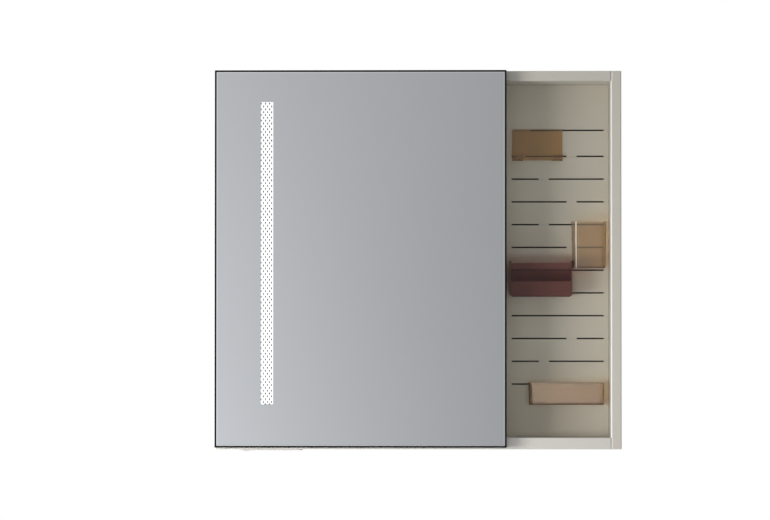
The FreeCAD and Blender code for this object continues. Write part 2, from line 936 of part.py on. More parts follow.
def track_stops():
    """Stops on the roof of the channel, one beyond the hangers at each end of the travel."""
    left_end = hanger_centres[0] - hanger_length / 2 - stop_gap
    right_end = hanger_centres[1] + hanger_length / 2 + open_width + stop_gap
    y_pair = (slot_middle - stop_width / 2, slot_middle + stop_width / 2)
    z_pair = (channel_roof - stop_height, channel_roof)
    return group([box((left_end - stop_length, left_end), y_pair, z_pair),
                  box((right_end, right_end + stop_length), y_pair, z_pair)])


def guide_buttons():
    """T-shaped buttons: the head runs in the channel at the foot of the door."""
    buttons = []
    head_start = door_rear - guide_channel_depth + guide_head_gap
    for point in guide_points():
        flange_rear = -body_depth
        profile = [(0, 0), (0, guide_head_radius), (guide_head_thickness, guide_head_radius),
                   (guide_head_thickness, guide_stem_radius),
                   (flange_rear - guide_flange - head_start, guide_stem_radius),
                   (flange_rear - guide_flange - head_start, guide_flange_radius),
                   (flange_rear - head_start, guide_flange_radius),
                   (flange_rear - head_start, guide_stem_radius),
                   (flange_rear - head_start + guide_root_length, guide_stem_radius),
                   (flange_rear - head_start + guide_root_length, 0)]
        buttons.append(turned(profile, FreeCAD.Vector(point.x, head_start, point.z), y_axis))
    return group(buttons)


# Mirror door

def frame_section():
    """The section of the frame, as (inwards from the edge, back from the front)."""
    glass_seat = mirror_rear - door_front
    back_seat = back_seat_front - door_front
    return [(0, 0, frame_chamfer), (frame_wall, 0, 0), (frame_wall, glass_seat, 0),
            (seat_depth, glass_seat, 0), (seat_depth, glass_seat + frame_sheet, 0),
            (frame_wall, glass_seat + frame_sheet, 0), (frame_wall, back_seat, 0),
            (seat_depth, back_seat, 0), (seat_depth, back_seat + frame_sheet, 0),
            (frame_wall, back_seat + frame_sheet, 0), (frame_wall, door_thickness, 0),
            (0, door_thickness, 0)]


def foot_section():
    """The bottom rail's section, with the guide channel that opens to the back."""
    glass_seat = mirror_rear - door_front
    back_seat = back_seat_front - door_front
    channel_wall = frame_wall + guide_channel_height
    outer_wall = channel_wall + guide_wall
    web = door_thickness - guide_channel_depth - guide_wall
    lip = door_thickness - guide_lip
    low_lip = frame_wall + (guide_channel_height - guide_slot) / 2
    high_lip = channel_wall - (guide_channel_height - guide_slot) / 2
    return [(0, 0, frame_chamfer), (frame_wall, 0, 0), (frame_wall, glass_seat, 0),
            (seat_depth, glass_seat, 0), (seat_depth, glass_seat + frame_sheet, 0),
            (frame_wall, glass_seat + frame_sheet, 0), (frame_wall, web, 0),
            (outer_wall, web, 0), (outer_wall, back_seat, 0), (outer_wall + guide_ledge, back_seat, 0),
            (outer_wall + guide_ledge, back_seat + frame_sheet, 0), (outer_wall, back_seat + frame_sheet, 0),
            (outer_wall, door_thickness, 0), (high_lip, door_thickness, 0), (high_lip, lip, 0),
            (channel_wall, lip, 0), (channel_wall, web + guide_wall, 0),
            (frame_wall, web + guide_wall, 0), (frame_wall, lip, 0), (low_lip, lip, 0),
            (low_lip, door_thickness, 0), (0, door_thickness, 0)]


def mitred(bar, side):
    """Cuts a frame bar to the part of the door that lies nearest to its own side."""
    middle = FreeCAD.Vector((door_left + door_right) / 2, 0, (door_top + door_bottom) / 2)
    reach = min(door_width, door_height) / 2
    corners = {"top": [(door_left, door_top), (door_right, door_top),
                       (door_right - reach, door_top - reach), (door_left + reach, door_top - reach)],
               "bottom": [(door_left, door_bottom), (door_left + reach, door_bottom + reach),
                          (door_right - reach, door_bottom + reach), (door_right, door_bottom)],
               "left": [(door_left, door_top), (middle.x, door_top - reach),
                        (middle.x, door_bottom + reach), (door_left, door_bottom)],
               "right": [(door_right, door_top), (door_right, door_bottom),
                         (middle.x, door_bottom + reach), (middle.x, door_top - reach)]}[side]
    flat = []
    for x, z in corners:
        if (x, z, 0) not in flat:
            flat.append((x, z, 0))
    wedge = plate(flat, in_front_view(door_front - overrun), along_y(door_thickness + 2 * overrun))
    return bar.common(wedge)


def frame_bar(side):
    """One mitred bar of the door frame."""
    section = foot_section() if side == "bottom" else frame_section()
    if side in ("top", "bottom"):
        sign = -1 if side == "top" else 1
        edge = door_top if side == "top" else door_bottom
        corners = [(door_front + back, edge + sign * inward, radius) for inward, back, radius in section]
        bar = plate(corners, in_section(door_left), along_x(door_width))
    else:
        sign = 1 if side == "left" else -1
        edge = door_left if side == "left" else door_right
        corners = [(edge + sign * inward, door_front + back, radius) for inward, back, radius in section]
        bar = plate(corners, in_plan(door_bottom), along_z(door_height))
    return mitred(bar, side).cut(plate_screw_holes())


def mirror_edges():
    """The mirror's outline: (x range, z range)."""
    inset = frame_wall + mirror_side_clearance
    return (door_left + inset, door_right - inset), (door_bottom + inset, door_top - inset)


def mirror_glass():
    """A mirror with bevelled front edges, and a shallow step where the light strip is etched."""
    x_pair, z_pair = mirror_edges()
    depth_of_bevel = mirror_front + mirror_bevel_depth
    body = box(x_pair, (depth_of_bevel, mirror_rear), z_pair)
    wide = outline(rectangle(x_pair, z_pair), in_front_view(depth_of_bevel))
    narrow_x = (x_pair[0] + mirror_bevel, x_pair[1] - mirror_bevel)
    narrow_z = (z_pair[0] + mirror_bevel, z_pair[1] - mirror_bevel)
    narrow = outline(rectangle(narrow_x, narrow_z), in_front_view(mirror_front))
    bevel = Part.makeLoft([wide, narrow], True, True)
    etched = box((strip_left, strip_left + strip_width), (mirror_front - overrun, mirror_front + strip_film),
                 (strip_bottom, strip_top))
    return body.fuse(bevel).removeSplitter().cut(etched)


def dot(x, z):
    """The outline of one clear lozenge in the etched strip."""
    return [(x - dot_width / 2, z, 0), (x, z - dot_height / 2, 0),
            (x + dot_width / 2, z, 0), (x, z + dot_height / 2, 0)]


def dot_heights(lower):
    """The middles of a column's lozenges; a lower column starts half a step further down."""
    z = strip_top - dot_end_margin - dot_height / 2
    if lower:
        z -= dot_row_step / 2
    heights = []
    while z - dot_height / 2 > strip_bottom:
        heights.append(z)
        z -= dot_row_step
    return heights


def dot_column(column):
    """Where a column of lozenges stands; the first column is number 0."""
    return strip_left + dot_first_column + column * dot_column_step


def strip_edge():
    """The outline of the etched strip, notched below its upper columns and beside each upper dot."""
    left = strip_left
    corners = [(left, strip_bottom, strip_foot_round)]
    for column in range(1, dot_columns_count, 2):
        x = dot_column(column)
        corners += [(x - dot_width, strip_bottom, 0), (x, strip_bottom + dot_foot_notch, 0),
                    (x + dot_width, strip_bottom, 0)]
    right = strip_left + strip_width
    corners += [(right, strip_bottom, strip_foot_round), (right, strip_top, 0), (left, strip_top, 0)]
    for z in dot_heights(False):
        corners += [(left, z + dot_height / 2, 0), (left + dot_edge_notch, z, 0),
                    (left, z - dot_height / 2, 0)]
    return corners


def etched_light_strip():
    """The frosted lattice: columns of clear lozenges, each first and third one set lower."""
    holes = []
    for column in range(dot_columns_count):
        holes += [dot(dot_column(column), z) for z in dot_heights(column % 2 == 0)]
    return plate(strip_edge(), in_front_view(mirror_front), along_y(strip_film), holes)


def door_back_plate():
    side = frame_wall + back_plate_clearance
    foot = frame_wall + guide_channel_height + guide_wall + back_plate_clearance
    sheet = box((door_left + side, door_right - side), (back_plate_front, back_plate_rear),
                (door_bottom + foot, door_top - side))
    start = gland_point() + along_y(overrun)
    gland_hole = rod(gland_radius, start, y_axis * -1, back_plate_thickness + 2 * overrun)
    return sheet.cut(hanger_screw_holes()).cut(plate_screw_holes()).cut(gland_hole)


def plate_screw_points():
    """The back plate's screws: two in the top bar and three in each side bar."""
    points = []
    for share in (plate_screw_shares[0], plate_screw_shares[-1]):
        x = door_left + share * door_width
        points.append(FreeCAD.Vector(x, back_plate_rear, door_top - plate_screw_inset))
    for share in plate_screw_shares:
        z = door_bottom + share * door_height
        for x in (door_left + plate_screw_inset, door_right - plate_screw_inset):
            points.append(FreeCAD.Vector(x, back_plate_rear, z))
    return points


def plate_screw_holes():
    length = back_plate_thickness + frame_sheet
    return group([rod(plate_screw_radius, point + along_y(overrun), y_axis * -1, overrun + length)
                  for point in plate_screw_points()])


def back_plate_screws():
    length = back_plate_thickness + frame_sheet
    return group([screw(point, y_axis * -1, plate_screw_head, plate_screw_head_height,
                        plate_screw_radius, length) for point in plate_screw_points()])


def door_corner_keys():
    """Angle pieces between the two seats of the frame, one in each corner."""
    front = seat_rear + corner_key_clearance
    foot_front = guide_web_front - corner_key_clearance
    keys = []
    for x_sign, x_edge in ((1, door_left), (-1, door_right)):
        for z_sign, z_edge in ((1, door_bottom), (-1, door_top)):
            rear = foot_front if z_sign == 1 else back_seat_front - corner_key_clearance
            x = x_edge + x_sign * (frame_wall + corner_key_clearance)
            z = z_edge + z_sign * (frame_wall + corner_key_clearance)
            corners = [(x, z, 0), (x + x_sign * corner_key_leg, z, 0),
                       (x + x_sign * corner_key_leg, z + z_sign * corner_key_width, 0),
                       (x + x_sign * corner_key_width, z + z_sign * corner_key_width, 0),
                       (x + x_sign * corner_key_width, z + z_sign * corner_key_leg, 0),
                       (x, z + z_sign * corner_key_leg, 0)]
            keys.append(plate(corners, in_front_view(front), along_y(rear - front)))
    return group(keys)


def gland_point():
    """The middle of the door's cable gland, on the rear face of the back plate."""
    return FreeCAD.Vector(door_left + gland_from_edge, back_plate_rear, door_top - gland_from_top)


def door_cable_gland():
    """A plug with a small bore, its collar against the inner face of the back plate."""
    far = gland_flange + back_plate_thickness
    profile = [(0, gland_bore), (0, gland_flange_radius), (gland_flange, gland_flange_radius),
               (gland_flange, gland_radius), (far, gland_radius), (far, gland_bore)]
    start = gland_point() - along_y(far)
    return turned(profile, start, y_axis)


def lamp_outline():
    """The lamp behind the strip: (x range, z range)."""
    x_pair = (strip_middle - lamp_channel_width / 2, strip_middle + lamp_channel_width / 2)
    return x_pair, (strip_bottom - lamp_end_margin, strip_top + lamp_end_margin)


def led_channel():
    """A U profile bonded to the back of the glass, with a ledge on each side for the diffuser."""
    x_pair, z_pair = lamp_outline()
    rear = mirror_rear + lamp_channel_depth
    wall = lamp_channel_wall
    ledge_y = mirror_rear + diffuser_thickness + diffuser_clearance
    left, right = x_pair
    corners = [(left, mirror_rear, 0), (left + wall, mirror_rear, 0), (left + wall, ledge_y, 0),
               (left + wall + lamp_ledge, ledge_y, 0), (left + wall + lamp_ledge, ledge_y + wall, 0),
               (left + wall, ledge_y + wall, 0), (left + wall, rear - wall, 0),
               (right - wall, rear - wall, 0), (right - wall, ledge_y + wall, 0),
               (right - wall - lamp_ledge, ledge_y + wall, 0), (right - wall - lamp_ledge, ledge_y, 0),
               (right - wall, ledge_y, 0), (right - wall, mirror_rear, 0), (right, mirror_rear, 0),
               (right, rear, 0), (left, rear, 0)]
    return plate(corners, in_plan(z_pair[0]), along_z(z_pair[1] - z_pair[0]))


def light_diffuser():
    x_pair, z_pair = lamp_outline()
    inset = lamp_channel_wall + diffuser_clearance
    return box((x_pair[0] + inset, x_pair[1] - inset),
               (mirror_rear + diffuser_clearance, mirror_rear + diffuser_clearance + diffuser_thickness),
               z_pair)


def board_front():
    return mirror_rear + lamp_channel_depth - lamp_channel_wall - board_thickness


def led_board():
    z_pair = lamp_outline()[1]
    return box((strip_middle - board_width / 2, strip_middle + board_width / 2),
               (board_front(), board_front() + board_thickness),
               (z_pair[0] + lamp_end_margin, z_pair[1] - lamp_end_margin))


def led_chips():
    chips = []
    step = strip_height / chip_count
    for index in range(chip_count):
        z = strip_bottom + step * (index + 0.5)
        chips.append(box((strip_middle - chip_width / 2, strip_middle + chip_width / 2),
                         (board_front() - chip_height, board_front()),
                         (z - chip_length / 2, z + chip_length / 2)))
    return group(chips)


# Switch module under the cabinet

def lens_centre():
    front = -body_depth + module_front
    return FreeCAD.Vector(module_left + lens_inset, front + module_depth / 2, -half_height - module_flange)


def sensor_housing():
    """A flange under the cabinet and a hollow body that stands up into the bottom panel."""
    front = -body_depth + module_front
    flange = plate(rectangle((module_left, module_left + module_width), (front, front + module_depth),
                             module_round), in_plan(-half_height - module_flange), along_z(module_flange))
    x_pair, y_pair, z_pair = module_body_box(0)
    body = box(x_pair, y_pair, z_pair)
    inner = box((x_pair[0] + module_wall, x_pair[1] - module_wall),
                (y_pair[0] + module_wall, y_pair[1] - module_wall),
                (z_pair[0], z_pair[1] + overrun))
    neck = rod(lens_neck_radius, lens_centre() - along_z(overrun), z_axis, module_flange + 2 * overrun)
    return flange.fuse(body.cut(inner)).removeSplitter().cut(neck)


def sensor_lens():
    """A shallow lens with a neck through the flange."""
    profile = [(0, 0), (0, lens_crown_radius), (lens_drop, lens_radius), (lens_drop, lens_neck_radius),
               (lens_drop + module_flange, lens_neck_radius), (lens_drop + module_flange, 0)]
    return turned(profile, lens_centre() - along_z(lens_drop), z_axis)


def sensor_board():
    x_pair, y_pair, z_pair = module_body_box(0)
    inset = module_wall + module_clearance
    low = z_pair[0] + module_board_gap
    board = box((x_pair[0] + inset, x_pair[1] - inset), (y_pair[0] + inset, y_pair[1] - inset),
                (low, low + module_board_thickness))
    return board


# Accessories hooked into the slots

def tongue(x_pair, height):
    """A tongue through a slot, with a lug that stands up behind the panel."""
    z_pair = (height - tongue_thickness / 2, height + tongue_thickness / 2)
    flat = box(x_pair, (accessory_back, lug_back), z_pair)
    lug = box(x_pair, (lug_front, lug_back), (z_pair[0], z_pair[1] + tongue_lug))
    return flat.fuse(lug)


def bent_sheet(points, radii, thickness):
    """The corners of a sheet of even thickness along flat points, rounded at each bend."""
    ahead = []
    for index in range(len(points) - 1):
        run = FreeCAD.Vector(points[index + 1][0] - points[index][0],
                             points[index + 1][1] - points[index][1], 0)
        ahead.append(run.normalize())
    sides = []
    for sign in (1, -1):
        line = []
        for index, (a, b) in enumerate(points):
            first = ahead[max(index - 1, 0)]
            second = ahead[min(index, len(ahead) - 1)]
            normal = FreeCAD.Vector(-first.y - second.y, first.x + second.x, 0)
            reach = thickness / (1 + first.dot(second))
            turn = first.x * second.y - first.y * second.x
            bend = radii[index]
            if bend:
                bend = bend - sign * math.copysign(thickness / 2, turn)
            line.append((a + sign * normal.x * reach / 2, b + sign * normal.y * reach / 2, bend))
        sides.append(line)
    return sides[0] + sides[1][::-1]


def hook_plate():
    """A plate hung from the top row, with two folded hooks at its foot."""
    row = slot_heights()[rows_above_hook_count]
    thickness = hook_plate_thickness
    plate_y = accessory_back - thickness / 2
    foot = row - hook_drop + thickness / 2
    tab_y = accessory_back - hook_tab_reach + thickness / 2
    tab_top = foot - thickness / 2 + hook_tab_height
    head = row + tongue_thickness / 2
    x_right = hook_left + hook_width
    body = box((hook_left, x_right), (accessory_back - thickness, accessory_back),
               (foot - thickness / 2 + hook_tab_height, head))
    solid = body
    path = [(plate_y, tab_top), (plate_y, foot), (tab_y, foot), (tab_y, tab_top)]
    bends = [0, hook_bend + thickness / 2, hook_bend + thickness / 2, 0]
    for left in (hook_left, x_right - hook_tab_width):
        hook = plate(bent_sheet(path, bends, thickness), in_section(left), along_x(hook_tab_width))
        solid = solid.fuse(hook)
    middle = box((hook_left + hook_tab_width, x_right - hook_tab_width),
                 (accessory_back - thickness, accessory_back), (foot, tab_top))
    solid = solid.fuse(middle)
    solid = solid.fuse(tongue((hook_left + hook_tongue_inset, x_right - hook_tongue_inset), row))
    return solid.removeSplitter()


def open_box(left, width, top, height, reach, corner, back_corner, draft, floor):
    """A drafted box with round front corners, open at the top."""
    rings = []
    for inset, low_draft_inset, low in ((0, 0, top - height), (accessory_wall, 0, top - height + floor)):
        for z, taper in ((low, draft), (top, low_draft_inset)):
            x_pair = (left + inset + taper, left + width - inset - taper)
            front = accessory_back - reach + inset + taper
            back = accessory_back - inset
            round_front = corner - inset
            round_back = max(back_corner - inset, 0)
            ring = [(x_pair[0], front, round_front), (x_pair[1], front, round_front),
                    (x_pair[1], back, round_back), (x_pair[0], back, round_back)]
            rings.append(outline(ring, in_plan(z)))
    outer = Part.makeLoft(rings[:2], True, True)
    inner = Part.makeLoft(rings[2:], True, True)
    return outer.cut(inner)


def brush_holder():
    row = slot_heights()[rows_above_holder_count]
    solid = open_box(holder_left, holder_width, row + holder_rise, holder_height, holder_reach,
                     holder_corner, holder_back_corner, holder_draft, holder_floor)
    x_pair = (holder_left + holder_tongue_inset, holder_left + holder_width - holder_tongue_inset)
    return solid.fuse(tongue(x_pair, row)).removeSplitter()


def storage_tray():
    row = slot_heights()[rows_above_tray_count]
    solid = open_box(tray_left, tray_right - tray_left, row + tray_rise, tray_height, tray_reach,
                     tray_corner, tray_back_corner, tray_draft, tray_floor)
    x_pair = (tray_left + tray_tongue_inset, tray_right - tray_tongue_inset)
    return solid.fuse(tongue(x_pair, row)).removeSplitter()


def organiser():
    """Two tiers in one moulding: a lipped shelf over a tray with a divider."""
    row = slot_heights()[rows_above_organiser_count]
    organiser_top = row + organiser_rise
    left = organiser_left
    right = organiser_right
    front = accessory_back - organiser_reach
    low = organiser_top - organiser_height
    wall = accessory_wall
    outer = [(left, low, organiser_corner), (right, low, organiser_corner),
             (right, organiser_top, 0), (left, organiser_top, 0)]
    solid = plate(outer, in_front_view(accessory_back), along_y(-organiser_reach))
    shelf_top = organiser_top - organiser_shelf_drop
    shelf_low = shelf_top - organiser_shelf
    inside_x = (left + wall, right - wall)
    inside_y = (front + wall, accessory_back - wall)
    upper = box(inside_x, inside_y, (shelf_top, organiser_top + overrun))
    lip_top = shelf_top + organiser_lip
    lip_cut = box(inside_x, (front - overrun, accessory_back + overrun), (lip_top, organiser_top + overrun))
    window_low = shelf_low - organiser_window
    inner_corner = organiser_corner - wall
    lower = plate([(inside_x[0], low + wall, inner_corner), (inside_x[1], low + wall, inner_corner),
                   (inside_x[1], shelf_low, 0), (inside_x[0], shelf_low, 0)],
                  in_front_view(inside_y[0]), along_y(inside_y[1] - inside_y[0]))
    window = box(inside_x, (front - overrun, front + wall), (window_low, shelf_low))
    solid = solid.cut(upper).cut(lip_cut).cut(lower).cut(window)
    divider_x = left + (right - left) * organiser_divider_share
    divider = box((divider_x - organiser_divider / 2, divider_x + organiser_divider / 2),
                  inside_y, (low + wall, window_low - organiser_divider_drop))
    solid = solid.fuse(divider)
    for start in (left + organiser_tongue_inset,
                  right - organiser_tongue_inset - organiser_tongue_width):
        solid = solid.fuse(tongue((start, start + organiser_tongue_width), row))
    return solid.removeSplitter()


def all_parts():
    parts = {
        "side_panel_left": side_panel_left(),
        "side_panel_right": side_panel_right(),
        "side_end_caps": side_end_caps(),
        "top_panel": top_panel(),
        "bottom_panel": bottom_panel(),
        "corner_keys": corner_keys(),
        "corner_screws": corner_screws(),
        "partition": partition(),
        "back_panel": back_panel(),
        "wall_brackets": wall_brackets(),
        "bracket_rivets": bracket_rivets(),
        "cable_grommet": cable_grommet(),
        "slotted_panel": slotted_panel(),
        "panel_blocks": panel_blocks(),
        "led_driver": led_driver(),
        "driver_screws": driver_screws(),
        "glass_shelf_lower": glass_shelf(shelf_heights()[0]),
        "glass_shelf_upper": glass_shelf(shelf_heights()[1]),
        "shelf_pins": shelf_pins(),
        "track_stops": track_stops(),
        "guide_buttons": guide_buttons(),
        "sensor_housing": sensor_housing(),
        "sensor_lens": sensor_lens(),
        "sensor_board": sensor_board(),
        "mirror_glass": mirror_glass(),
        "etched_light_strip": etched_light_strip(),
        "door_back_plate": door_back_plate(),
        "back_plate_screws": back_plate_screws(),
        "door_corner_keys": door_corner_keys(),
        "door_cable_gland": door_cable_gland(),
        "led_channel": led_channel(),
        "led_board": led_board(),
        "led_chips": led_chips(),
        "light_diffuser": light_diffuser(),
        "hanger_bar": hanger_bar(),
        "hanger_screws": hanger_screws(),
        "hanger_left": hanger(hanger_centres[0]),
        "hanger_right": hanger(hanger_centres[1]),
        "hook_plate": hook_plate(),
        "brush_holder": brush_holder(),
        "organiser": organiser(),
        "storage_tray": storage_tray(),
    }
    for side in ("top", "bottom", "left", "right"):
        parts["door_frame_" + side] = frame_bar(side)
    axles = [x for centre in hanger_centres for x in axle_places(centre)]
    for number, x in enumerate(axles, 1):
        parts["roller_wheels_" + str(number)] = roller_wheels(x)
        parts["roller_axle_" + str(number)] = roller_axle(x)
    return parts


os.makedirs("parts", exist_ok=True)
for name, shape in all_parts().items():
    shape.exportStep("parts/" + name + ".step")
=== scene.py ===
import json
import math
import bpy
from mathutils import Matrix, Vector


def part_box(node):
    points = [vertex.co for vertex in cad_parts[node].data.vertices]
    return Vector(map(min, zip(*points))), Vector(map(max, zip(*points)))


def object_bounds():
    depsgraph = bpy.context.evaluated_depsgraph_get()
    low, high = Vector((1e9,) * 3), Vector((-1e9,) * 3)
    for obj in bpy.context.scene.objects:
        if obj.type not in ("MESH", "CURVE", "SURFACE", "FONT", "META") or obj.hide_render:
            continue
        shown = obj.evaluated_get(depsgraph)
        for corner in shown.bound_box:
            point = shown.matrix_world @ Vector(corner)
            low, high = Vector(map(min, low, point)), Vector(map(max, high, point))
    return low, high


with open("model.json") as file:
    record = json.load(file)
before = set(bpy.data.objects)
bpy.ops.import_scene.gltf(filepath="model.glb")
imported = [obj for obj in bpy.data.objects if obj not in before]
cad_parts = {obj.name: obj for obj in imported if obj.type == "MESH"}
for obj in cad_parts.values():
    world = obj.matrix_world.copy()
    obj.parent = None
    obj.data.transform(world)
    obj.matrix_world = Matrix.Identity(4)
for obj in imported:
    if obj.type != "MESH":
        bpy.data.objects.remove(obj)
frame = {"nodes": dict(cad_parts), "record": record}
cad_low, cad_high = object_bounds()

# Lengths are in metres, lamp powers in watts, the lens in millimetres and turns in degrees.
# X points to the right and Z up, and the cabinet's front faces -Y.


def linear(red, green, blue):
    """A colour written as on a screen, from 0 to 255, in the renderer's linear values."""
    def one(value):
        share = value / 255
        return share / 12.92 if share <= 0.04045 else ((share + 0.055) / 1.055) ** 2.4
    return (one(red), one(green), one(blue), 1.0)


# Camera: where it stands, what it looks at, its lens and how the picture is shifted
camera_place = Vector((0.114, -6.32, -0.159))
camera_aim = Vector((0.009, -0.12, -0.057))
camera_lens = 156.7
camera_shift = (-0.05, 0.04)

# Lamps, each with its place, its width and height, and its power
key_place = Vector((-0.80, -1.20, -0.34))
key_size = (0.7, 0.4)
key_power = 13.0
side_place = Vector((-2.6, -0.53, 0.0))
side_size = (0.45, 1.6)
side_power = 22.0
low_place = Vector((0.15, -1.3, -0.34))
low_size = (0.6, 0.2)
low_power = 2.5
low_colour = (0.90, 0.95, 1.0)
lamp_white = (1.0, 1.0, 1.0)

# Surroundings: the light that the white background sheds, and the floor that fades out
world_strength = 0.33
white = (1.0, 1.0, 1.0, 1.0)
floor_drop = 0.42
floor_reach = 4.0
floor_fade = 2.2
floor_sides = 96
floor_paper = (0.86, 0.86, 0.86, 1.0)
floor_roughness = 0.9

# Curved wall far in front of the cabinet, which only the mirror and the glossy surfaces show.
# Its light rises from wall_right to wall_left and falls from wall_foot to wall_head.
wall_radius = 12.0
wall_turn = 70.0
wall_low = -3.0
wall_high = 11.0
wall_steps = 28
wall_right = 0.45
wall_left = -1.6
wall_foot = -0.8
wall_head = 1.4
wall_dark = 0.41
wall_light_foot = 0.40
wall_light_head = 0.20
wall_fall = 1.35
wall_tint = (0.985, 0.99, 1.0, 1.0)

# Paints of the body, and the painted light, highlights and shade laid on them
body_grey = linear(203, 198, 187)
back_grey = linear(214, 212, 206)
# painted light: a paler copy of the body's paint for the bottom section
painted_lit_foot_grey = linear(210, 206, 198)
pan_grey = linear(196, 190, 174)
# painted shade: near black on the back sheet behind the slotted panel
painted_cavity_shade = linear(40, 40, 40)
# painted light on the upward face of the bay's floor
painted_bay_floor_light = linear(250, 247, 240)
# painted highlight on a post's bevel beside the bay
painted_bevel_highlight = linear(255, 253, 248)
# painted highlight and painted shade at a post's joints with the rails
painted_joint_highlight = linear(240, 237, 230)
painted_joint_shade = linear(165, 160, 150)
# painted shade along a post's outer edge
painted_edge_shade = linear(120, 116, 108)

# Widths of the zones of painted highlight and painted shade along the posts, and how far a zone reaches past
# a face
edge_zone = 0.0028
outer_edge = 0.0013
joint_line = 0.0025
joint_bevel = 0.0042
sheet_skin = 0.0005

# Mirror and its etched strip, with painted highlights and painted shade on the mirror's edges
silver = (0.80, 0.82, 0.85, 1.0)
silver_cloud = (0.78, 0.80, 0.83, 1.0)
clear_dot = (0.03, 0.03, 0.035, 1.0)
# width of the mirror's edges that get a painted highlight or painted shade, and their colours
painted_rim_width = 0.0024
painted_rim_highlight = (0.97, 0.985, 1.0, 1.0)
painted_rim_shade = (0.60, 0.615, 0.64, 1.0)
frosted = (0.45, 0.455, 0.46, 1.0)
frosted_cloud = (0.43, 0.435, 0.44, 1.0)
etched_glow = 0.52

# Clear plastics of the accessories, with a painted highlight on the holder's corner and painted light on the
# tray's end wall
hook_amber = (0.645, 0.51, 0.345, 1.0)
holder_amber = (0.78, 0.70, 0.585, 1.0)
tray_amber = (0.60, 0.50, 0.39, 1.0)
# painted light: a paler tint on the tray's end wall at its right
painted_end_light_amber = (0.84, 0.74, 0.60, 1.0)
amber_depth = (0.62, 0.45, 0.30, 1.0)
amber_clear = 0.95
tray_end = 0.007
# painted highlight along the holder's left corner: where it lies, how deep, its colour and its metallic
# shine
painted_highlight_span = (0.0068, 0.0086)
painted_highlight_depth = 0.006
painted_corner_highlight = (1.0, 0.95, 0.88, 1.0)
painted_corner_shine = 0.9
wine_red = (0.33, 0.145, 0.12, 1.0)
wine_depth = (0.50, 0.0, 0.0, 1.0)

# Shelf glass and metals
shelf_clear = (0.97, 0.99, 0.98, 1.0)
shelf_depth = (0.80, 0.95, 0.90, 1.0)
zinc = (0.62, 0.63, 0.65, 1.0)
aluminium = (0.74, 0.75, 0.76, 1.0)
even_grain = (1.0, 1.0, 1.0)
cross_grain = (1.0, 1.0, 0.03)

# Values of a noise between which a finish changes from one look to the other
noise_start = 0.3
noise_end = 0.7


# Node trees and objects

def new_material(name):
    """A new material with its nodes and its links."""
    made = bpy.data.materials.new(name)
    made.use_nodes = True
    return made, made.node_tree.nodes, made.node_tree.links


def map_range(nodes, links, source, start, end, low, high):
    """Maps the source's values from start to end onto low to high."""
    made = nodes.new("ShaderNodeMapRange")
    made.inputs["From Min"].default_value = start
    made.inputs["From Max"].default_value = end
    made.inputs["To Min"].default_value = low
    made.inputs["To Max"].default_value = high
    links.new(source, made.inputs["Value"])
    return made.outputs["Result"]


def calculate(nodes, links, operation, *values):
    """The operation's result for the values, each of them a number or an output."""
    made = nodes.new("ShaderNodeMath")
    made.operation = operation
    for place, value in enumerate(values):
        if isinstance(value, float):
            made.inputs[place].default_value = value
        else:
            links.new(value, made.inputs[place])
    return made.outputs["Value"]


def mix_shaders(nodes, links, factor, first, second):
    """The first shader where the factor is nought, the second where it is one."""
    made = nodes.new("ShaderNodeMixShader")
    links.new(factor, made.inputs["Fac"])
    links.new(first.outputs["BSDF"], made.inputs[1])
    links.new(second.outputs["BSDF"], made.inputs[2])
    return made.outputs["Shader"]


def add_object(name, data):
    """A new object in the scene."""
    made = bpy.data.objects.new(name, data)
    bpy.context.scene.collection.objects.link(made)
    return made


def look_at(made, place, aim):
    """Puts a lamp or a camera at the place and turns it to the aim."""
    made.location = place
    made.rotation_mode = "QUATERNION"
    made.rotation_quaternion = (aim - place).to_track_quat("-Z", "Y")


# Materials

